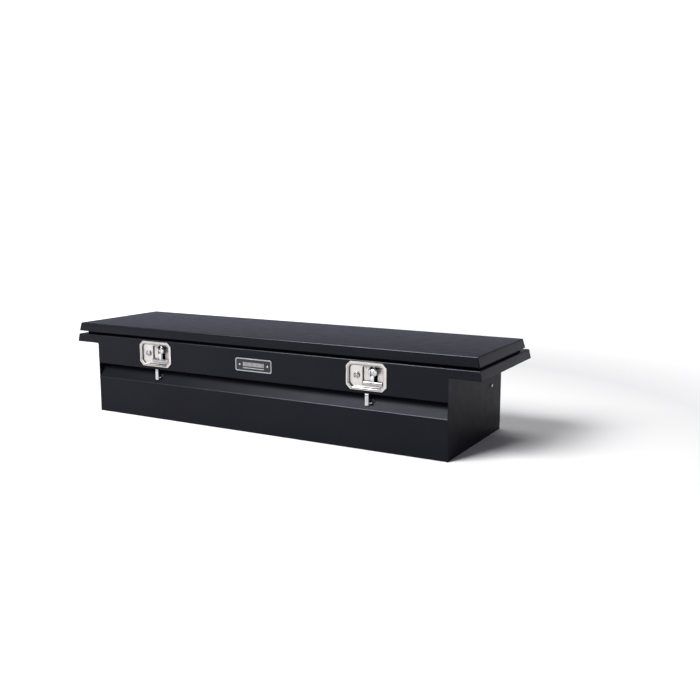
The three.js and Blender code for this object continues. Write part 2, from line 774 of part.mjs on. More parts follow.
// Rotary claw: a round plate with a throat for the striker and a notch beside the pawl.
function claw(x) {
  const x0 = x + MECHANISM_DX - CLAW.half;
  const x1 = x + MECHANISM_DX + CLAW.half;
  const { y, z } = CLAW;
  const disc = bar([x0, y, z], [x1, y, z], CLAW.radius, 32);
  const bore = bar([x0 - 1, y, z], [x1 + 1, y, z], CLAW.bore);
  const reach = STRIKER.radius + 0.7;
  const [z0, z1] = [STRIKER.z - reach, STRIKER.z + reach];
  const throat = prismX(plate(STRIKER.y - reach, STRIKER.y + 40, z0, z1, 4), x0 - 1, x1 + 1);
  const notch = box(x0 - 1, x1 + 1, y + 17, y + 40, z - 6, z + 2.5);
  return cut(disc, bore, throat, notch);
}

// Pawl: tooth beside the claw's notch, stem on its pin, arm down to the release rod.
function pawl(x) {
  const inner = x + MECHANISM_DX;
  const [x0, x1] = [inner - PAWL.half, inner + PAWL.half];
  const tooth = CLAW.y + CLAW.radius + 0.6;
  const { y, z } = PAWL;
  const outline = [
    [y - 3.5, PAWL.foot],
    [y + 3.5, PAWL.foot],
    [y + 8, z],
    [y + 3, CLAW.z],
    [tooth, CLAW.z],
    [tooth, CLAW.z - 5],
    [y - 3, CLAW.z - 8],
    [y - 8, z],
  ];
  const pinHole = bar([x0 - 1, y, z], [x1 + 1, y, z], PAWL.bore);
  const rodHole = bar([inner, y - 9, ROD.z], [inner, y + 9, ROD.z], ROD.radius + 0.6, 12);
  return cut(prismX(outline, x0, x1), pinHole, rodHole);
}

// Striker: base plate on the liner, two legs and the cross bar that the claw holds.
function striker(x) {
  const inner = x + MECHANISM_DX;
  const { y, z, radius } = STRIKER;
  const base = prismZ(plate(inner - 34, inner + 34, y - 17, y + 17, 6), Z_LINER - 3, Z_LINER);
  const leftLeg = box(inner - 20, inner - 16, y - 8, y + 8, z - 7, Z_LINER - 1);
  const rightLeg = box(inner + 16, inner + 20, y - 8, y + 8, z - 7, Z_LINER - 1);
  return join(base, leftLeg, rightLeg, bar([inner - 17, y, z], [inner + 17, y, z], radius));
}

// ---- name badge ------------------------------------------------------------------------------

// Plain badge: raised frame, three plain ribs and a rivet head near each end.
function badge() {
  const { x, z, half, frame } = BADGE;
  const base = prismY(plate(-x, x, z - half, z + half, 8), Y_APRON - 2, Y_APRON);
  const [fx, fz] = [x - frame, half - frame];
  const field = prismY(plate(-fx, fx, z - fz, z + fz, 5), Y_APRON - 3, Y_APRON - 1);
  const ribs = [-9, 0, 9].map((dz) => {
    const [z0, z1] = [z + dz - 1.6, z + dz + 1.6];
    return box(-BADGE.rib, BADGE.rib, Y_APRON - 1.6, Y_APRON - 0.5, z0, z1);
  });
  const rivets = [-BADGE.rivet, BADGE.rivet].map((rx) =>
    bar([rx, Y_APRON - 2.4, z], [rx, Y_APRON - 0.5, z], 3.5),
  );
  return join(cut(base, field), ...ribs, ...rivets);
}

// ---- assembly --------------------------------------------------------------------------------

place("front_wall", "powder", frontWall());
place("rear_wall", "powder", rearWall());
place("floor_pan", "powder", floorPan());
place("front_apron", "powder", frontApron());
place("rim_seal", "rubber", rimSeal());
place("lid_skin", "powder", lidSkin());
place("lid_liner", "powder", lidLiner());
place("lid_foam", "foam", lidFoam());
place("hinge_tub_leaf", "stainless", hingeTubLeaf());
place("hinge_lid_leaf", "stainless", hingeLidLeaf());
place("hinge_pin", "stainless", hingePin());
place("badge", "zinc", badge());

for (const [name, side] of sides) {
  place(name + "_end_plate", "powder", endPlate(side));
  place(name + "_wing_tray", "powder", wingTray(side));
  place(name + "_end_skirt", "powder", endSkirt(side));
  place(name + "_strut_cylinder", "strut", strutCylinder(side));
  place(name + "_strut_rod", "zinc", strutRod(side));
  place(name + "_strut_stud", "zinc", strutStud(side));
  place(name + "_strut_bracket", "powder", strutBracket(side));

  const x = side * LATCH_X;
  place(name + "_latch_dish", "stainless", latchDish(x));
  place(name + "_dish_gasket", "rubber", dishGasket(x));
  place(name + "_handle_boss", "stainless", handleBoss(x));
  place(name + "_handle_pin", "stainless", handlePin(x));
  place(name + "_t_handle", "stainless", tHandle(x));
  place(name + "_lock_plug", "zinc", lockPlug(x));
  place(name + "_lock_cam", "zinc", lockCam(x));
  place(name + "_lever_bracket", "zinc", leverBracket(x));
  place(name + "_lever_pin", "zinc", leverPin(x));
  place(name + "_trip_lever", "zinc", tripLever(x));
  place(name + "_release_rod", "zinc", releaseRod(x));
  place(name + "_rod_grommet", "rubber", rodGrommet(x));
  place(name + "_latch_housing", "zinc", latchHousing(x));
  place(name + "_claw", "zinc", claw(x));
  place(name + "_pawl", "zinc", pawl(x));
  place(name + "_striker", "zinc", striker(x));
}

export default toolBox;
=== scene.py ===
"""Looks of a low-profile crossover truck tool box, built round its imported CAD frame."""
import json
import math

import bmesh
import bpy
from mathutils import Matrix, Vector


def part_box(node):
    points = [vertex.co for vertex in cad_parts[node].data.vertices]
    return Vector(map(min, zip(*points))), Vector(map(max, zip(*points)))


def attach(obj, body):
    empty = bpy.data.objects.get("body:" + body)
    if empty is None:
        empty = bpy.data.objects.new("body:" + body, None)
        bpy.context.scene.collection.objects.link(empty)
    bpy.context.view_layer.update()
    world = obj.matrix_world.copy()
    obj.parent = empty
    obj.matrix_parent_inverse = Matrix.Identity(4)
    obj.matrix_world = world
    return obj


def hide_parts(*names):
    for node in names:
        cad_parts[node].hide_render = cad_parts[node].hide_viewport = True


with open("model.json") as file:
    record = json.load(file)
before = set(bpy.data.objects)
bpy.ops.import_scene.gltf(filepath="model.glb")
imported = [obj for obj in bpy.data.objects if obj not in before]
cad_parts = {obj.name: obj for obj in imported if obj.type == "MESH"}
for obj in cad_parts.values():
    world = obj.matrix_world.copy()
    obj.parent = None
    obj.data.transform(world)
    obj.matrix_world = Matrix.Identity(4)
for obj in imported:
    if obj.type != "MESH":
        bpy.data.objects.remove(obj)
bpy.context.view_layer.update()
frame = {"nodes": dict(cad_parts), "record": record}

MM = 0.001
nodes = frame["nodes"]
collection = bpy.context.scene.collection

# ---- materials ---------------------------------------------------------------------------


def new_material(name):
    """A node material, its shader and its node tree."""
    made = bpy.data.materials.new(name)
    made.use_nodes = True
    return made, made.node_tree.nodes["Principled BSDF"], made.node_tree


def add_node(tree, kind, inputs=(), **settings):
    """A node with its settings made and its unlinked inputs filled in."""
    node = tree.nodes.new(kind)
    for key, value in settings.items():
        setattr(node, key, value)
    for key, value in inputs:
        node.inputs[key].default_value = value
    return node


def noise(tree, scale, detail=2.0, roughness=0.5, stretch=None):
    """Noise over the object's own coordinates, per metre; stretch turns it into a grain."""
    where = add_node(tree, "ShaderNodeTexCoord").outputs["Object"]
    if stretch:
        mapping = add_node(tree, "ShaderNodeMapping", [("Scale", stretch)])
        tree.links.new(where, mapping.inputs["Vector"])
        where = mapping.outputs["Vector"]
    made = add_node(
        tree,
        "ShaderNodeTexNoise",
        [("Scale", scale), ("Detail", detail), ("Roughness", roughness)],
    )
    tree.links.new(where, made.inputs["Vector"])
    return made.outputs["Fac"]


def ramp(tree, source, low, high, start=0.3, stop=0.7):
    """Number or colour between low and high as source goes from start to stop."""
    if isinstance(low, tuple):
        made = add_node(tree, "ShaderNodeValToRGB")
        made.color_ramp.elements[0].position = start
        made.color_ramp.elements[1].position = stop
        made.color_ramp.elements[0].color = (*low, 1)
        made.color_ramp.elements[1].color = (*high, 1)
        tree.links.new(source, made.inputs["Fac"])
        return made.outputs["Color"]
    made = add_node(
        tree,
        "ShaderNodeMapRange",
        [("From Min", start), ("From Max", stop), ("To Min", low), ("To Max", high)],
    )
    tree.links.new(source, made.inputs["Value"])
    return made.outputs["Result"]


def bump(tree, shader, source, strength, distance):
    """Fine relief on the shader's normal, distance in metres."""
    made = add_node(tree, "ShaderNodeBump", [("Strength", strength), ("Distance", distance)])
    tree.links.new(source, made.inputs["Height"])
    tree.links.new(made.outputs["Normal"], shader.inputs["Normal"])


def powder_coat(name, dark, light, smooth=0.31, rough=0.35, level=0.066):
    """Satin black polyester powder: orange peel, faint clouds of tone and gloss."""
    made, shader, tree = new_material(name)
    clouds = noise(tree, 3.5, 3)
    tree.links.new(ramp(tree, clouds, dark, light), shader.inputs["Base Color"])
    tree.links.new(ramp(tree, noise(tree, 22, 3), smooth, rough), shader.inputs["Roughness"])
    shader.inputs["Specular IOR Level"].default_value = level
    shader.inputs["Specular Tint"].default_value = (0.84, 0.87, 1.0, 1)
    bump(tree, shader, noise(tree, 650, 2), 0.15, 0.00015)
    return made


def metal(name, dark, light, smooth, rough, grain=None):
    """Bare or plated metal, with a brushed grain where grain gives its stretch."""
    made, shader, tree = new_material(name)
    shader.inputs["Metallic"].default_value = 1.0
    tone = noise(tree, 60, 3)
    tree.links.new(ramp(tree, tone, dark, light), shader.inputs["Base Color"])
    streaks = noise(tree, 400, 3, 0.6, grain)
    tree.links.new(ramp(tree, streaks, smooth, rough), shader.inputs["Roughness"])
    bump(tree, shader, streaks, 0.12, 0.0001)
    return made


def dull(name, dark, light, smooth, rough, scale, depth):
    """Rubber, foam or moulded plastic."""
    made, shader, tree = new_material(name)
    grit = noise(tree, scale, 4, 0.6)
    tree.links.new(ramp(tree, grit, dark, light), shader.inputs["Base Color"])
    tree.links.new(ramp(tree, grit, smooth, rough), shader.inputs["Roughness"])
    shader.inputs["Specular IOR Level"].default_value = 0.3
    bump(tree, shader, grit, 0.4, depth)
    return made


COAT = (0.0048, 0.0049, 0.0071), (0.0060, 0.0061, 0.0086)  # darkest and lightest tone
# The end plates have a duller coat than the rest, painted shade that darkens them, and the bends a
# glossier one, a painted highlight.

looks = {
    "powder": powder_coat("powder_coat_black", *COAT),
    # A glossier copy of the coat, for painted highlights along the bends.
    "powder_painted_sheen": powder_coat("powder_coat_painted_sheen", *COAT, 0.28, 0.32, 0.34),
    # A duller copy of the coat, painted shade for the end plates.
    "powder_end_painted_shade": powder_coat("powder_coat_end_painted_shade", *COAT, 0.40, 0.46, 0.055),
    "stainless": metal(
        "stainless_brushed", (0.44, 0.420, 0.402), (0.50, 0.478, 0.458), 0.30, 0.42, (1, 6, 6)
    ),
    # A darker copy of the brushed steel, used as painted shade on the pan's walls.
    "stainless_painted_shade": metal(
        "stainless_walls_painted_shade", (0.15, 0.145, 0.145), (0.21, 0.205, 0.205), 0.28, 0.40, (6, 1, 1)
    ),
    "chrome": metal("chrome_bright", (0.36, 0.358, 0.36), (0.44, 0.438, 0.44), 0.12, 0.20),
    "handle": metal("handle_plate", (0.25, 0.25, 0.255), (0.31, 0.31, 0.315), 0.20, 0.30),
    "zinc": metal("zinc_plate", (0.38, 0.38, 0.385), (0.46, 0.46, 0.465), 0.25, 0.40),
    "rubber": dull(
        "rubber_black", (0.012, 0.012, 0.012), (0.022, 0.022, 0.022), 0.7, 0.85, 900, 0.0002
    ),
    "foam": dull("foam_cream", (0.50, 0.46, 0.33), (0.66, 0.61, 0.47), 0.9, 1.0, 420, 0.0008),
    "badge": metal("badge_aluminium", (0.30, 0.30, 0.32), (0.40, 0.40, 0.42), 0.35, 0.45),
    "enamel": dull(
        "badge_enamel", (0.006, 0.006, 0.007), (0.010, 0.010, 0.011), 0.35, 0.5, 300, 0.0001
    ),
    "strut": powder_coat(
        "strut_black", (0.008, 0.008, 0.009), (0.012, 0.012, 0.013), 0.22, 0.30, 0.5
    ),
}

slot_looks = {
    "powder_black": "powder",
    "stainless": "stainless",
    "chrome": "chrome",
    "zinc": "zinc",
    "rubber": "rubber",
    "foam": "foam",
    "strut_black": "strut",
    "badge_metal": "zinc",
}


def wear(obj, look):
    """Gives an object one look in place of any that it had."""
    obj.data.materials.clear()
    obj.data.materials.append(looks[look])


# ---- mesh tools ----------------------------------------------------------------------------
# Shapes are drawn in millimetres and stored in metres.


def piece(name, mesh, look, body, replaced=(), crease=35):
    """A new object that rides on a body, with faces smooth where they meet at a small angle."""
    made = bpy.data.objects.new(name, mesh)
    collection.objects.link(made)
    wear(made, look)
    mesh.set_sharp_from_angle(angle=math.radians(crease))
    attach(made, body)
    if replaced:
        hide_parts(*replaced)
    return made


def paint_bend_sheen(mesh, low, high, above=0.0):
    """A glossier coat on the bends that face forward and up, a painted highlight: they catch a
    thin line of light that the rest of the coat does not.
    """
    mesh.materials.append(looks["powder_painted_sheen"])
    for face in mesh.polygons:
        bent = low < face.normal.z < high and face.normal.y < -0.2
        face.material_index = 1 if bent and face.center.z > above * MM else 0


def to_mesh(name, points, faces):
    mesh = bpy.data.meshes.new(name)
    mesh.from_pydata([[c * MM for c in p] for p in points], [], faces)
    tidy = bmesh.new()
    tidy.from_mesh(mesh)
    bmesh.ops.remove_doubles(tidy, verts=tidy.verts, dist=1e-6)
    bmesh.ops.recalc_face_normals(tidy, faces=tidy.faces)
    tidy.to_mesh(mesh)
    tidy.free()
    mesh.polygons.foreach_set("use_smooth", [True] * len(mesh.polygons))
    return mesh


def loft(name, loops, caps=(True, True)):
    """Surface through closed loops that have the same number of points."""
    count = len(loops[0])
    points = [p for loop in loops for p in loop]
    faces = []
    for row in range(len(loops) - 1):
        for i in range(count):
            a, b = row * count + i, row * count + (i + 1) % count
            faces.append((a, b, b + count, a + count))
    if caps[0]:
        faces.append(tuple(range(count)))
    if caps[1]:
        faces.append(tuple(range((len(loops) - 1) * count, len(loops) * count)))
    return to_mesh(name, points, faces)


def merge(name, *meshes):
    """One mesh of several, which are used up."""
    whole = bmesh.new()
    for mesh in meshes:
        whole.from_mesh(mesh)
        bpy.data.meshes.remove(mesh)
    made = bpy.data.meshes.new(name)
    whole.to_mesh(made)
    whole.free()
    return made


def outline(x0, x1, z0, z1, corners, steps=8, spans=4):
    """Closed line round a rectangle from its top right corner, turning left. Each corner is a
    radius, or a negative number for a chamfer of that size; corners go tr, tl, bl, br."""
    centres = [(x1, z1, -1, -1), (x0, z1, 1, -1), (x0, z0, 1, 1), (x1, z0, -1, 1)]
    ends = []
    for quarter, ((cx, cz, sx, sz), corner) in enumerate(zip(centres, corners)):
        size = abs(corner)
        mx, mz = cx + sx * size, cz + sz * size
        arc = []
        for i in range(steps + 1):
            t = i / steps
            angle = (quarter + t) * math.pi / 2
            if corner >= 0:
                arc.append((mx + size * math.cos(angle), mz + size * math.sin(angle)))
            else:
                start = (mx + size * round(math.cos(quarter * math.pi / 2)),
                         mz + size * round(math.sin(quarter * math.pi / 2)))
                stop = (mx + size * round(math.cos((quarter + 1) * math.pi / 2)),
                        mz + size * round(math.sin((quarter + 1) * math.pi / 2)))
                arc.append(tuple(u + (v - u) * t for u, v in zip(start, stop)))
        ends.append(arc)
    line = []
    for quarter, arc in enumerate(ends):
        line += arc
        (ax, az), (bx, bz) = arc[-1], ends[(quarter + 1) % 4][0]
        line += [
            (ax + (bx - ax) * i / spans, az + (bz - az) * i / spans) for i in range(1, spans)
        ]
    return line


def inset_outline(rect, corners, by):
    """Outline moved inwards, with its corners shrunk so that all its sides stay parallel."""
    x0, x1, z0, z1 = rect
    shrunk = [math.copysign(max(abs(c) - by * (1 if c > 0 else 0.586), 0.6), c) for c in corners]
    return outline(x0 + by, x1 - by, z0 + by, z1 - by, shrunk)


def revolve(name, profile, origin, axis="y", steps=48):
    """Profile of (radius, distance along the axis) turned round it; radius 0 closes an end."""
    points, loops = [], []
    ox, oy, oz = origin
    for radius, along in profile:
        loop = []
        for i in range(steps if radius > 0 else 1):
            angle = 2 * math.pi * i / steps
            u, v = radius * math.cos(angle), radius * math.sin(angle)
            offset = {"y": (u, along, v), "x": (along, u, v), "z": (u, v, along)}[axis]
            loop.append(len(points))
            points.append((ox + offset[0], oy + offset[1], oz + offset[2]))
        loops.append(loop)
    faces = []
    for low, high in zip(loops, loops[1:]):
        for i in range(steps):
            j = (i + 1) % steps
            ring = [low[i % len(low)], low[j % len(low)], high[j % len(high)], high[i % len(high)]]
            faces.append(tuple(dict.fromkeys(ring)))
    return to_mesh(name, points, [f for f in faces if len(f) > 2])


def block(name, x0, x1, y0, y1, z0, z1):
    """Plain box, for cutters and for small parts that are softened or merged."""
    corners = [(x, y, z) for x in (x0, x1) for y in (y0, y1) for z in (z0, z1)]
    faces = [(0, 1, 3, 2), (4, 6, 7, 5), (0, 4, 5, 1), (2, 3, 7, 6), (0, 2, 6, 4), (1, 5, 7, 3)]
    return to_mesh(name, corners, faces)


def modify(obj, kind, **settings):
    modifier = obj.modifiers.new(kind.lower(), kind)
    for key, value in settings.items():
        setattr(modifier, key, value)
    return modifier


def soften(obj, width, segments=3, angle=35):
    """Rounds the edges sharper than the angle."""
    modify(
        obj, "BEVEL", width=width * MM, segments=segments, limit_method="ANGLE",
        angle_limit=math.radians(angle),
    )
    modify(obj, "WEIGHTED_NORMAL")


def carve(mesh, *cutters):
    """The mesh less the cutters, which are closed meshes and are used up."""
    work = bpy.data.objects.new("work", mesh)
    collection.objects.link(work)
    made = mesh
    for cutter in cutters:
        tool = bpy.data.objects.new("tool", cutter)
        collection.objects.link(tool)
        modifier = modify(work, "BOOLEAN", operation="DIFFERENCE", object=tool, solver="EXACT")
        depsgraph = bpy.context.evaluated_depsgraph_get()
        made = bpy.data.meshes.new_from_object(work.evaluated_get(depsgraph))
        work.modifiers.remove(modifier)
        work.data = made
        bpy.data.objects.remove(tool)
        bpy.data.meshes.remove(cutter)
    bpy.data.objects.remove(work)
    return made


def sweep(name, path, section, closed=False):
    """Section of (sideways, up) offsets carried along a path, as a closed solid."""
    loops = []
    up_hint = Vector((0, 0, 1))
    points = [Vector(p) for p in path]
    last = len(points) - 1
    for i, point in enumerate(points):
        before = points[i - 1] if closed else points[max(i - 1, 0)]
        after = points[(i + 1) % len(points)] if closed else points[min(i + 1, last)]
        along = (after - before).normalized()
        side = along.cross(up_hint)
        side = side.normalized() if side.length > 1e-4 else Vector((1, 0, 0))
        up = side.cross(along)
        loops.append([tuple(point + side * u + up * v) for u, v in section])
    if closed:
        loops.append(loops[0])
        return loft(name, loops, (False, False))
    return loft(name, loops)


def circle(radius, steps=16):
    """Closed section for a round sweep."""
    return [
        (radius * math.cos(2 * math.pi * i / steps), radius * math.sin(2 * math.pi * i / steps))
        for i in range(steps)
    ]


def middle_of(node):
    """Middle of a node's box in millimetres."""
    low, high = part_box(node)
    return (low + high) / 2 / MM


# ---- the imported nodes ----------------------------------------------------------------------

slot_of = {row["node"]: row["material_slot"] for row in frame["record"]["subparts"]}

EDGE = {"powder": 0.8, "stainless": 0.35, "chrome": 0.3, "zinc": 0.35, "rubber": 0.5}
for name, obj in nodes.items():
    look = slot_looks[slot_of[name]]
    # The end plates wear the duller copy of the coat: painted shade.
    wear(obj, "powder_end_painted_shade" if name.endswith("_end_plate") else look)
    obj.data.polygons.foreach_set("use_smooth", [True] * len(obj.data.polygons))
    modify(obj, "WELD", merge_threshold=0.00002)
    modify(obj, "DECIMATE", decimate_type="DISSOLVE", angle_limit=math.radians(0.5))
    modify(
        obj, "BEVEL", width=EDGE.get(look, 0.3) * MM, segments=2, limit_method="ANGLE",
        angle_limit=math.radians(40),
    )
    modify(obj, "WEIGHTED_NORMAL")

# ---- latches -------------------------------------------------------------------------------

LATCH_Z = 262.0
DISH_FRONT = -259.5  # front face of the rim
HUB_X, HUB_Z, PIN_Y = 24.0, 279.0, -247.0
LOCK_X = -41.0
APRON_Y, WING_Z = -257.2, 283.4


def latch_dish(side, cx):
    """Pressed stainless pan: flat octagonal rim, rolled edge, shallow floor and deep pocket."""
    rim = (-78.6, 78.6, -49.65, 49.65)
    recess = (-67.0, 64.0, -40.0, 37.0)
    pocket = (-22.0, 63.4, -35.4, 36.4)
    front_face = [
        (rim, 0.0, 1.4), (rim, 0.0, 0.55), (rim, 0.18, 0.16), (rim, 0.6, 0.0), (rim, 6.0, 0.0),
        (recess, -6.3, 0.0), (recess, -5.9, 0.8), (recess, -5.2, 0.8), (recess, -4.8, 0.2),
        (recess, -3.6, 0.5), (recess, -2.0, 1.2), (recess, -0.9, 2.2),
        (recess, -0.3, 3.4), (recess, 0.4, 6.6), (recess, 0.8, 7.8), (recess, 1.6, 8.6),
        (recess, 2.6, 8.95), (recess, 3.2, 9.0), (pocket, 3.2, 9.1), (pocket, 3.7, 9.5),
        (pocket, 4.2, 10.3), (pocket, 4.6, 11.6), (pocket, 5.1, 14.6), (pocket, 5.6, 15.8),
        (pocket, 6.5, 16.6), (pocket, 7.8, 17.0),
    ]
    back_face = [
        (pocket, 7.4, 18.4), (pocket, 5.4, 17.8), (pocket, 4.2, 16.4), (pocket, 3.3, 12.0),
        (pocket, 2.9, 10.5), (recess, 2.2, 10.4), (recess, 0.4, 9.6), (recess, -0.7, 7.6),
        (recess, -1.6, 3.6), (recess, -2.6, 2.3), (recess, -5.2, 1.5), (rim, 4.0, 1.5),
        (rim, 0.2, 1.5),
    ]
    shapes = {rim: [-16.0] * 4, recess: [13.0, 13.0, -13.0, -13.0], pocket: [12.4, 9.0, 6.0, -9.0]}

    def level(rect, by, depth):
        line = inset_outline(rect, shapes[rect], by)
        return [(cx + x, DISH_FRONT + depth, LATCH_Z + z) for x, z in line]

    mesh = loft("dish", [level(*row) for row in back_face + front_face])
    hole = [(0, -2), (10.8, -2), (10.8, 14), (0, 14)]
    lock_hole = revolve("cut", hole, (cx + LOCK_X, DISH_FRONT, LATCH_Z))
    sides = (cx + HUB_X - 7.5, cx + HUB_X + 7.5)
    slot = block("cut", *sides, DISH_FRONT + 12, DISH_FRONT + 21, HUB_Z - 6, HUB_Z + 19.2)
    stem_slot = block(
        "cut", cx + HUB_X - 2, cx + HUB_X + 13, DISH_FRONT + 12, DISH_FRONT + 21, HUB_Z - 38,
        HUB_Z - 8,
    )
    mesh = carve(mesh, lock_hole, slot, stem_slot)
    made = piece(
        f"{side}_dish", mesh, "stainless", "tub", [f"{side}_latch_dish"]
    )
    # The steep walls, except those facing left towards the light, get a darker copy of the steel:
    # painted shade, for contrast.
    mesh.materials.append(looks["stainless_painted_shade"])
    for face in mesh.polygons:
        steep = abs(face.normal.y) < 0.86 and face.normal.x > -0.3
        face.material_index = 1 if steep else 0
    dimple = [(0, 0.4), (2.0, 0.4), (2.0, -0.1), (1.4, -0.2), (0, -0.2)]
    dots = [
        revolve("dot", dimple, (cx + x, DISH_FRONT + 17, LATCH_Z + 26.5), steps=20)
        for x in (-7.5, 45.5)
    ]
    piece(f"{side}_dish_plugs", merge("dots", *dots), "enamel", "tub")
    return made


def paint_shade_on_walls(mesh, steep):
    """Painted shade: the near-black strut coat on the side walls, so that boss and lock stand out
    from the bright pan.
    """
    mesh.materials.append(looks["strut"])
    for face in mesh.polygons:
        face.material_index = 1 if abs(face.normal.y) < steep else 0


def hub(side, cx):
    """Domed boss on the pocket floor, slotted for the T-handle and open behind."""
    x, base = cx + HUB_X, -242.6
    profile = [
        (0, base), (18, base), (18, -255.4), (17.6, -257.2), (16.6, -258.6), (14.8, -259.6),
        (11.8, -260.2), (7.5, -260.45), (0, -260.5),
    ]
    slot = block("cut", x - 6.9, x + 6.9, -262, base - 2, HUB_Z - 22, HUB_Z + 18.8)
    tail = block("cut", x - 6.9, x + 6.9, -262, base + 2, HUB_Z - 7, HUB_Z + 18.8)
    made = piece(
        f"{side}_hub", carve(revolve("hub", profile, (x, 0, HUB_Z)), slot, tail), "chrome", "tub",
        [f"{side}_handle_boss"],
    )
    # Painted shade on the boss's side walls.
    paint_shade_on_walls(made.data, 0.45)
    soften(made, 0.5)


def t_handle(side, cx):
    """Forged handle: round head on the pin, waisted stem, flattened bar, tail for the lever."""
    x = cx + HUB_X
    head = [
        (13.1 * math.cos(math.radians(a)), 13.1 * math.sin(math.radians(a)))
        for a in range(110, 226, 8)
    ]
    section = [(3.4, -3), (3.4, 8), (6.5, 10), (6.5, 15.8), (1, 15.8)] + head
    section += [(-10.6, -14), (-11.2, -28), (-10.6, -40), (-5.6, -41), (-4.6, -26), (-3.6, -9)]
    loops = [
        [(x + reach, PIN_Y + dy, HUB_Z + dz) for dy, dz in section] for reach in (-5.7, 5.7)
    ]
    stem = piece(
        f"{side}_handle_stem", loft("stem", loops), "chrome", f"{side}_handle",
        [f"{side}_t_handle"],
    )
    soften(stem, 1.3, 4)
    grip_y, grip_z = -254.5, 236.6
    bar_loops = []
    for bx, grow in [
        (-17.5, 0.25), (-17.0, 0.62), (-15.6, 0.88), (-13.4, 0.98), (-10, 1.0), (8, 1.0),
        (16, 1.06), (24, 1.1), (32, 1.06), (40, 1.0), (56, 1.0), (59, 0.98), (60.6, 0.88),
        (61.6, 0.62), (61.9, 0.25),
    ]:
        loop = []
        for u, v in circle(1.0, 24):
            full = grow / (abs(u) ** 2.6 + abs(v) ** 2.6) ** (1 / 2.6)
            loop.append((cx + bx, grip_y + 3.7 * u * full, grip_z + 7.5 * v * full))
        bar_loops.append(loop)
    piece(f"{side}_handle_grip", loft("grip", bar_loops), "handle", f"{side}_handle")


def lock(side, cx):
    """Lock cylinder: raised ring, sunk face, round plug with a keyway."""
    x, seat = cx + LOCK_X, DISH_FRONT + 9
    ring = [
        (0, 13.5), (9.8, 13.5), (9.8, -0.1), (11.7, -0.2), (12, -0.6), (12, -4.2), (11.5, -5.0),
        (10.6, -5.4), (9.4, -5.4), (8.6, -5.0), (8.2, -4.2), (8.0, -3.2), (0, -3.2),
    ]
    body = revolve("ring", ring, (x, seat, LATCH_Z))
    shade = [(0, -3.1), (7.9, -3.1), (7.9, -3.5), (0, -3.5)]
    shade = revolve("shade", shade, (x, seat, LATCH_Z))
    piece(f"{side}_lock_shade", shade, "enamel", f"{side}_lock")
    plug = [(0, -3.4), (6.4, -3.4), (6.4, -4.6), (6.0, -5.0), (0, -5.0)]
    face = revolve("plug", plug, (x, seat, LATCH_Z))
    keyway = block("cut", x - 0.9, x + 0.9, seat - 7, seat - 3, LATCH_Z - 4.4, LATCH_Z + 4.4)
    wide = block("cut", x - 1.7, x + 1.7, seat - 7, seat - 3, LATCH_Z - 1.8, LATCH_Z + 1.4)
    made = piece(
        f"{side}_lock_ring", body, "zinc", f"{side}_lock", [f"{side}_lock_plug"]
    )
    # Painted shade on the lock ring's side walls.
    paint_shade_on_walls(made.data, 0.45)
    piece(f"{side}_lock_face", carve(face, keyway, wide), "zinc", f"{side}_lock")


for side in ("left", "right"):
    dish_x = middle_of(f"{side}_latch_dish").x
    latch_dish(side, dish_x)
    hub(side, dish_x)
    t_handle(side, dish_x)
    lock(side, dish_x)

# ---- badge ---------------------------------------------------------------------------------


def badge():
    """Plain badge: dark field in a bright frame, a grille of short ribs, two rivets."""
    z, front = middle_of("badge").z, -257.2

    def band(by, depth):
        line = inset_outline((-80.8, 80.8, z - 24.5, z + 24.5), [8.0] * 4, by)
        return [(px, front + depth, pz) for px, pz in line]

    frame_loops = [
        (0.2, -0.05), (0.0, -0.5), (0.0, -1.4), (0.3, -1.9), (0.8, -2.1), (2.9, -2.1),
        (3.4, -1.9), (3.7, -1.4), (3.8, -0.6), (3.9, -0.3), (0.2, -0.05),
    ]
    rim = loft("frame", [band(*row) for row in frame_loops], (False, False))
    field = loft("field", [band(2.5, -0.35), band(2.5, -0.75)])
    ribs = []
    for i in range(17):
        rx = (i - 8) * 5.6
        ribs.append(block("rib", rx - 1.7, rx + 1.7, front - 1.7, front - 0.4, z - 5.5, z + 9.5))
    ribs.append(block("rib", -47, 47, front - 1.7, front - 0.4, z - 13.2, z - 10.4))
    piece("badge_field", field, "enamel", "tub")
    piece("badge_frame", rim, "badge", "tub", ["badge"])
    soften(piece("badge_ribs", merge("ribs", *ribs), "badge", "tub"), 0.35, 2)
    head = [(0, -0.4), (4.0, -0.5), (4.0, -1.0), (3.6, -1.7), (2.6, -2.2), (1.4, -2.4), (0, -2.45)]
    for rx, label in ((-62, "left"), (62, "right")):
        rivet = revolve("rivet", head, (rx, front, z))
        piece(f"badge_rivet_{label}", rivet, "chrome", "tub")


badge()

# ---- sheet metal, struts and levers --------------------------------------------------------

TUB_END, LIP_END, SKIRT_END = 776, 866, 889  # half lengths of the tub, the rim and the wings
LIP_FRONT, RAIL_Z, APRON_FOOT = -222, 316.6, 201.5
ROD_X, ROD_Z = 18, 174  # the release rod, beside the middle of its latch
STRUT_X = 757
STRUT_FOOT, STRUT_HEAD = (153.6, 187), (60, 334)  # (y, z) of both pivots


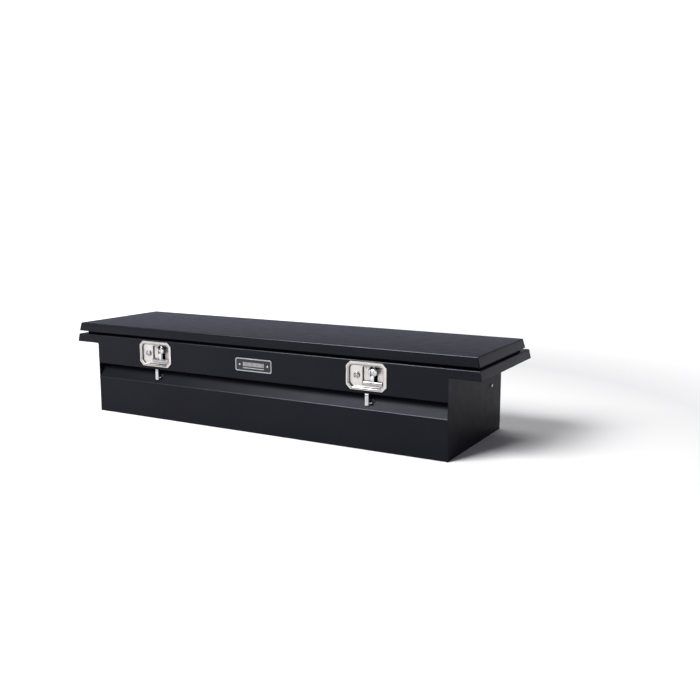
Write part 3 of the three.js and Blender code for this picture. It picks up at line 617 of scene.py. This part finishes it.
def fold(corners, thickness=2.0, bend=3.0, steps=6):
    """Closed section of a folded sheet whose outer face runs through the corners."""
    line = [Vector((*c, 0)) for c in corners]

    def offset(points, distance):
        moved = []
        for i, point in enumerate(points):
            before = (points[max(i, 1)] - points[max(i, 1) - 1]).normalized()
            j = min(i, len(points) - 2)
            after = (points[j + 1] - points[j]).normalized()
            normal = Vector((-before.y - after.y, before.x + after.x, 0)).normalized()
            moved.append(point + normal * distance / math.sqrt((1 + before.dot(after)) / 2))
        return moved

    middle = offset(line, thickness / 2)
    smooth = [middle[0]]
    for before, point, after in zip(middle, middle[1:], middle[2:]):
        back, on = (before - point).normalized(), (after - point).normalized()
        reach = bend / math.tan(math.acos(back.dot(on)) / 2)
        start, end = point + back * reach, point + on * reach
        for i in range(steps + 1):
            t = i / steps
            smooth.append(start * (1 - t) ** 2 + point * 2 * t * (1 - t) + end * t * t)
    smooth.append(middle[-1])
    left, right = offset(smooth, thickness / 2), offset(smooth, -thickness / 2)
    return [(p.x, p.y) for p in left + right[::-1]]


def lid_skin():
    """Folded lid with its corner seams: the skirts meet in a narrow groove at each corner."""
    foot = {"x": 880.8, "front": -256.4, "rear": 216.2, "z": 328.4}
    top = {"x": 873.1, "front": -253.4, "rear": 207.0, "z": 362.5}

    def level(z, margin, groove):
        t = (z - foot["z"]) / (top["z"] - foot["z"])
        x, front, rear = (foot[k] + (top[k] - foot[k]) * t for k in ("x", "front", "rear"))
        x, front, rear = x - margin, front + margin, rear - margin
        loop = []
        for sx, sy, edge in ((1, -1, front), (1, 1, rear), (-1, 1, rear), (-1, -1, front)):
            along_x = (sx * (x - groove), edge, z)
            notch = (sx * (x - groove * 1.2), edge - sy * groove * 1.2, z)
            along_y = (sx * x, edge - sy * groove, z)
            loop += [along_x, notch, along_y] if sx * sy < 0 else [along_y, notch, along_x]
        return loop

    loops = [level(360.5, 3.4, 0.02), level(359.0, 2.0, 0.02), level(328.7, 2.0, 0.02)]
    loops += [level(328.4, 1.7, 0.3), level(328.4, 0.3, 1.7), level(328.7, 0.0, 1.8)]
    loops.append(level(357.4, 0.0, 1.8))
    for angle in range(0, 91, 15):
        turn = math.radians(angle)
        groove = 1.5 * max(0.0, 1 - angle / 45) + 0.02
        loops.append(level(362.5 - 3.5 * (1 - math.sin(turn)), 3.5 * (1 - math.cos(turn)), groove))
    made = piece(
        "lid_shell", loft("lid", loops), "powder", "lid", ["lid_skin"], 50
    )
    # Painted highlight on the lid's front top bend.
    paint_bend_sheen(made.data, 0.2, 0.9, 356)


def below_wing(sign, end, fillet=7.0):
    """Cutter for what hangs below the wing, with a rounded inner corner."""
    line = [(end, -6), (end, WING_Z - fillet)]
    for angle in range(15, 90, 15):
        turn = math.radians(angle)
        line.append((end + fillet * (1 - math.cos(turn)), WING_Z - fillet * (1 - math.sin(turn))))
    line += [(end + fillet, WING_Z), (SKIRT_END + 41, WING_Z), (SKIRT_END + 41, -6)]
    return loft("cut", [[(sign * x, y, z) for x, z in line] for y in (-266, -210)])


def front_sheets():
    """Front wall with its sloping ledge, and the apron over it, both with round bends."""
    wall = [(LIP_FRONT, 343), (LIP_FRONT, 194.3), (APRON_Y, 144.1), (APRON_Y, 0)]
    wall = fold(wall + [(APRON_Y + 22, 0)], bend=4.2, steps=8)
    apron = [(LIP_FRONT, RAIL_Z), (APRON_Y, RAIL_Z), (APRON_Y, APRON_FOOT)]
    apron = fold(apron + [(APRON_Y + 12, APRON_FOOT)], bend=2.6, steps=6)
    wall = loft("wall", [[(x, u, v) for u, v in wall] for x in (-LIP_END, LIP_END)])
    apron = loft("apron", [[(x, u, v) for u, v in apron] for x in (-SKIRT_END, SKIRT_END)])
    for side, sign in (("left", -1), ("right", 1)):
        x = middle_of(f"{side}_latch_dish").x
        hole = [(0, -8), (5, -8), (5, 24), (0, 24)]
        hole = revolve("cut", hole, (x + ROD_X, -245, ROD_Z))
        wall = carve(wall, below_wing(sign, TUB_END - 2), hole)
        ends = [(889.1, 282), (881.0, 318), (905, 318), (905, 282)]
        ends = loft("cut", [[(sign * u, y, v) for u, v in ends] for y in (-266, -210)])
        low, high = sorted((sign * (TUB_END - 2.3), sign * (TUB_END + 0.3)))
        first, last = sorted((sign * LIP_END, sign * 900))
        apron = carve(
            apron,
            below_wing(sign, TUB_END),
            ends,
            block("cut", low, high, APRON_Y + 2, -210, 200, 212),
            block("cut", first, last, APRON_Y + 2, -210, 282, 318),
            block("cut", x - 70, x + 67, APRON_Y - 2, APRON_Y + 6, LATCH_Z - 43, LATCH_Z + 40),
            block("cut", x - 13, x + 13, APRON_Y + 2.5, -210, 200, 204),
        )
    wall = piece("front_sheet", wall, "powder", "tub", ["front_wall"], 30)
    apron = piece("apron_sheet", apron, "powder", "tub", ["front_apron"], 30)
    # Painted highlights on the front bends of wall and apron.
    paint_bend_sheen(wall.data, 0.05, 0.56)
    paint_bend_sheen(apron.data, 0.1, 0.96)
    soften(wall, 0.5, 2, 50)
    soften(apron, 0.5, 2, 50)


def end_skirt(side, sign):
    """Flared skirt with a narrow gap behind the front sheet."""
    section = fold([(SKIRT_END, WING_Z), (881.1, RAIL_Z), (LIP_END, RAIL_Z)])
    loops = [[(sign * u, y, v) for u, v in section] for y in (-252.9, 258.5)]
    made = piece(
        f"{side}_skirt", loft("skirt", loops), "powder", "tub",
        [f"{side}_end_skirt"],
    )
    soften(made, 0.5, 2, 50)


def lid_channels():
    """Two hat-shaped stiffeners under the lid liner, each with a row of rivets."""
    rivets = []
    for label, y in (("front", -118), ("rear", 88)):
        top, low = 349.9, 338.5
        outer = [(y - 34, top), (y - 22, top), (y - 15, low), (y + 15, low), (y + 22, top),
                 (y + 34, top)]
        inner = [(y + 34, top - 1.2), (y + 21.2, top - 1.2), (y + 14.2, low - 1.2),
                 (y - 14.2, low - 1.2), (y - 21.2, top - 1.2), (y - 34, top - 1.2)]
        section = outer + inner
        loops = [[(x, u, v) for u, v in section] for x in (-700, 700)]
        made = piece(f"lid_channel_{label}", loft("channel", loops), "powder", "lid")
        soften(made, 1.0, 3, 30)
        for i in range(8):
            for edge in (-28, 28):
                dome = [(0, 0.4), (3.6, 0.4), (3.4, -0.6), (2.4, -1.5), (0, -1.8)]
                spot = (-665 + i * 190, y + edge, top - 1.2)
                rivets.append(revolve("rivet", dome, spot, "z", 16))
    piece("lid_channel_rivets", merge("rivets", *rivets), "zinc", "lid")


def rim_seal():
    """Bulb seal: a grip over the lip with a hollow-looking round bulb on top."""
    path = []
    for px, py in outline(-865, 865, -221, 202, [7.0] * 4, 6, 24):
        path.append((px, py, 343))
    section = [(-3.3, -7.6), (-3.3, -1.0)]
    for angle in range(220, -41, -20):
        turn = math.radians(angle)
        section.append((4.3 * math.cos(turn), 2.2 + 4.3 * math.sin(turn)))
    section += [(3.3, -1.0), (3.3, -7.6)]
    piece("lip_seal", sweep("seal", path, section, True), "rubber", "tub", ["rim_seal"])


def hinge_rivets():
    """Domed rivets along both leaves of the piano hinge."""
    dome = [(0, -0.5), (4.2, -0.5), (4.2, 0.3), (3.6, 1.1), (2.2, 1.6), (0, 1.8)]
    on_tub = [
        revolve("rivet", dome, (-720 + i * 90, 238.5, 318.2), "z", 20) for i in range(17)
    ]
    piece("hinge_tub_rivets", merge("rivets", *on_tub), "zinc", "tub")
    on_lid = [revolve("rivet", dome, (-720 + i * 90, 214.4, 342), "y", 20) for i in range(17)]
    piece("hinge_lid_rivets", merge("rivets", *on_lid), "zinc", "lid")


def turned(name, profile, start, end, steps=28):
    """Profile of (radius, distance from start) turned round the line from start to end."""
    mesh = revolve(name, profile, (0, 0, 0), "z", steps)
    along = Vector(end) - Vector(start)
    turn = along.to_track_quat("Z", "Y").to_matrix().to_4x4()
    mesh.transform(Matrix.Translation(Vector(start) * MM) @ turn)
    return mesh


def strut(side, sign):
    """Gas strut: crimped tube, chromed rod, and a ball socket at both ends."""
    low, high = Vector((sign * STRUT_X, *STRUT_FOOT)), Vector((sign * STRUT_X, *STRUT_HEAD))
    length = (high - low).length
    way = (high - low).normalized()
    tube = [
        (0, 6), (5.2, 6), (5.2, 9), (6.6, 10), (8.4, 12.4), (9, 14), (9, length - 44),
        (8.3, length - 43), (8.3, length - 41.4), (9, length - 40.4), (9, length - 20),
        (8.4, length - 18.4), (6.4, length - 17), (4.3, length - 16.6), (4.3, length - 40),
        (0, length - 40),
    ]
    socket = [(0, -7.2), (4.0, -6.6), (6.4, -4.4), (7.3, 0), (6.8, 3.4), (5.4, 6), (5.0, 11),
              (0, 11)]
    piece(f"{side}_strut_body", turned("tube", tube, low, high), "strut", f"{side}_strut_tube",
          [f"{side}_strut_cylinder"])
    piece(f"{side}_strut_socket", turned("socket", socket, low, high), "strut",
          f"{side}_strut_tube")
    rod = [(0, 24), (4, 24), (4, length - 8), (0, length - 8)]
    head = [(0, -7.2), (4.0, -6.6), (6.4, -4.4), (7.3, 0), (6.8, 3.4), (5.4, 6), (5.0, 13),
            (4.6, 14), (0, 14)]
    stud = [(0, 0), (5.0, 0), (5.0, 3.6), (3.2, 4.4), (3.2, 8.2), (0, 8.2)]
    ram = f"{side}_strut_ram"
    piece(f"{side}_strut_rod_bar", turned("rod", rod, low, high), "chrome", ram,
          [f"{side}_strut_rod"])
    piece(f"{side}_strut_head", turned("head", head, high, low), "strut", ram)
    across = high + Vector((sign * 10, 0, 0))
    piece(f"{side}_strut_ball", turned("stud", stud, high, across), "zinc", ram)


def nut(side, sign):
    """Hexagon nut and washer outside the end plate, where the strut's stud comes through."""
    def hexagon(radius, x):
        return [
            (sign * x, STRUT_FOOT[0] + radius * math.cos(math.pi * i / 3),
             STRUT_FOOT[1] + radius * math.sin(math.pi * i / 3)) for i in range(6)
        ]

    head = loft("head", [hexagon(r, x) for r, x in
                         [(4.4, 776.6), (4.7, 777.0), (4.7, 779.0), (4.1, 779.6)]])
    washer = revolve(
        "washer", [(0, 0), (6.2, 0), (6.2, 0.7), (5.9, 1.0), (0, 1.0)], (TUB_END, *STRUT_FOOT), "x"
    )
    if sign < 0:
        washer.transform(Matrix.Scale(-1, 4, (1, 0, 0)))
        washer.flip_normals()
    piece(f"{side}_strut_nut", merge("nut", head, washer), "chrome", "tub", (), 20)


def trip_lever(side, cx):
    """Cranked zinc strip with its tab hanging below the apron, and a pad for the handle."""
    section = fold([(-249.85, 158.0), (-249.85, 197), (-236, 220), (-236, 297)], 3.0, 3.0)
    strip = loft("strip", [[(cx + x, u, v) for u, v in section] for x in (-7.4, 6.4)])
    made = piece(f"{side}_lever_strip", strip, "zinc", f"{side}_lever",
                 [f"{side}_trip_lever"])
    soften(made, 0.6, 3, 50)
    pad = block("pad", cx + 6, cx + 30, -239, -236.1, 285.2, 296.8)
    barrel = turned("barrel", [(2.9, 0), (4.6, 0), (4.6, 14.8), (2.9, 14.8), (2.9, 0)],
                    (cx - 7.4, -245.2, 211), (cx + 7.4, -245.2, 211))
    soften(piece(f"{side}_lever_pad", merge("pad", pad, barrel), "zinc", f"{side}_lever"),
           0.5, 2)
    # A thin black strip across the tab's bend: painted shade along the crease.
    crease = block("crease", cx - 7.2, cx + 6.2, -252.96, -252.5, 193.4, 195.2)
    piece(f"{side}_lever_crease_painted_shade", crease, "strut", f"{side}_lever")


def spline(points, steps=6):
    """Smooth line through the points."""
    ends = [Vector(points[0])] + [Vector(p) for p in points] + [Vector(points[-1])]
    line = []
    for a, b, c, d in zip(ends, ends[1:], ends[2:], ends[3:]):
        for i in range(steps):
            t = i / steps
            line.append(
                0.5 * (2 * b + (c - a) * t + (2 * a - 5 * b + 4 * c - d) * t * t
                       + (3 * b - a - 3 * c + d) * t ** 3)
            )
    return line + [ends[-1]]


def release_rod(side, cx):
    """Bent rod from the hook at the tab, through the ledge, to the pawl inside."""
    inner = cx + ROD_X
    path = spline([
        (cx + 3.0, -247.0, 166.2), (cx + 8.0, -247.8, 166.2), (cx + 12.6, -251.0, 167.2),
        (cx + 16.4, -251.6, 169.6), (cx + 17.8, -247.6, 172.4), (inner, -243.0, 173.8),
        (inner, -230, ROD_Z), (inner, -150.6, ROD_Z),
    ])
    piece(f"{side}_rod", sweep("rod", path, circle(1.8, 14)), "chrome", f"{side}_release",
          [f"{side}_release_rod"], 60)
    clip = [(1.6, 0), (2.9, 0.3), (3.1, 1.2), (3.1, 8.0), (2.8, 8.8), (1.6, 9.0), (1.6, 0)]
    clip = turned("clip", clip, (cx + 9.4, -249.4, 166.0), (cx + 17.4, -252.4, 170.6))
    piece(f"{side}_rod_clip", clip, "chrome", f"{side}_release")


lid_skin()
front_sheets()
lid_channels()
rim_seal()
hinge_rivets()
for side, sign in (("left", -1), ("right", 1)):
    end_skirt(side, sign)
    strut(side, sign)
    nut(side, sign)
    dish_x = middle_of(f"{side}_latch_dish").x
    trip_lever(side, dish_x)
    release_rod(side, dish_x)

# ---- floor, light and camera -----------------------------------------------------------------


def make_floor():
    """Pale floor that glows far from the object, where no light reaches, so it stays white."""
    mesh = bpy.data.meshes.new("floor")
    half = 60
    corners = [(-half, -half, 0), (half, -half, 0), (half, half, 0), (-half, half, 0)]
    mesh.from_pydata(corners, [], [(0, 1, 2, 3)])
    floor = bpy.data.objects.new("floor", mesh)
    collection.objects.link(floor)
    made, shader, tree = new_material("studio_floor")
    where = add_node(tree, "ShaderNodeTexCoord").outputs["Object"]
    distance = add_node(tree, "ShaderNodeVectorMath", operation="LENGTH")
    tree.links.new(where, distance.inputs[0])
    glow = ramp(tree, distance.outputs["Value"], 0.0, 0.9, 1.7, 3.6)
    tree.links.new(glow, shader.inputs["Emission Strength"])
    shader.inputs["Emission Color"].default_value = (1, 1, 1, 1)
    shader.inputs["Base Color"].default_value = (0.86, 0.86, 0.86, 1)
    shader.inputs["Roughness"].default_value = 0.9
    shader.inputs["Specular IOR Level"].default_value = 0.0
    mesh.materials.append(made)


def area_light(name, place, target, size, power):
    """Square soft box at place, turned to the target."""
    light = bpy.data.lights.new(name, "AREA")
    light.energy = power
    light.shape = "SQUARE"
    light.size = size
    obj = bpy.data.objects.new(name, light)
    collection.objects.link(obj)
    obj.location = place
    obj.rotation_euler = (Vector(target) - Vector(place)).to_track_quat("-Z", "Y").to_euler()
    return obj


def make_world(horizon, zenith):
    """White studio: bright round the horizon, dimmer overhead, plain white behind the object."""
    world = bpy.data.worlds.new("studio")
    bpy.context.scene.world = world
    world.use_nodes = True
    tree = world.node_tree
    background = tree.nodes["Background"]
    direction = add_node(tree, "ShaderNodeTexCoord").outputs["Generated"]
    parts = add_node(tree, "ShaderNodeSeparateXYZ")
    tree.links.new(direction, parts.inputs["Vector"])
    level = ramp(tree, parts.outputs["Z"], horizon, zenith, 0.2, 0.5)
    path = add_node(tree, "ShaderNodeLightPath")
    seen = add_node(tree, "ShaderNodeMixRGB", [("Color2", (1.05, 1.05, 1.05, 1))])
    tree.links.new(path.outputs["Is Camera Ray"], seen.inputs["Fac"])
    tree.links.new(level, seen.inputs["Color1"])
    tree.links.new(seen.outputs["Color"], background.inputs["Color"])


KEY_AZIMUTH, KEY_ELEVATION, KEY_DISTANCE = -24, 43, 5.0
az, el = math.radians(KEY_AZIMUTH), math.radians(KEY_ELEVATION)
towards_key = Vector((math.sin(az) * math.cos(el), -math.cos(az) * math.cos(el), math.sin(el)))
centre = Vector((0, 0, 0.18))
make_floor()
make_world((0.46, 0.465, 0.57), (0.10, 0.10, 0.10))
area_light("overhead", (0.35, 0.75, 3.1), (0.2, 0.1, 0), 1.6, 31)
area_light("key", centre + towards_key * KEY_DISTANCE, centre, 2.7, 465)

camera = bpy.data.cameras.new("camera")
camera.lens = 44.6
camera.sensor_width = 36
view = bpy.data.objects.new("camera", camera)
collection.objects.link(view)
view.location = (1.8375, -2.84305, 0.8298)
look_along = Vector((-0.47770, 0.86370, -0.16071))
roll = Matrix.Rotation(math.radians(-0.07), 4, look_along)
view.rotation_euler = (roll @ look_along.to_track_quat("-Z", "Y").to_matrix().to_4x4()).to_euler()
bpy.context.scene.camera = view
bpy.context.scene.view_settings.view_transform = "Standard"
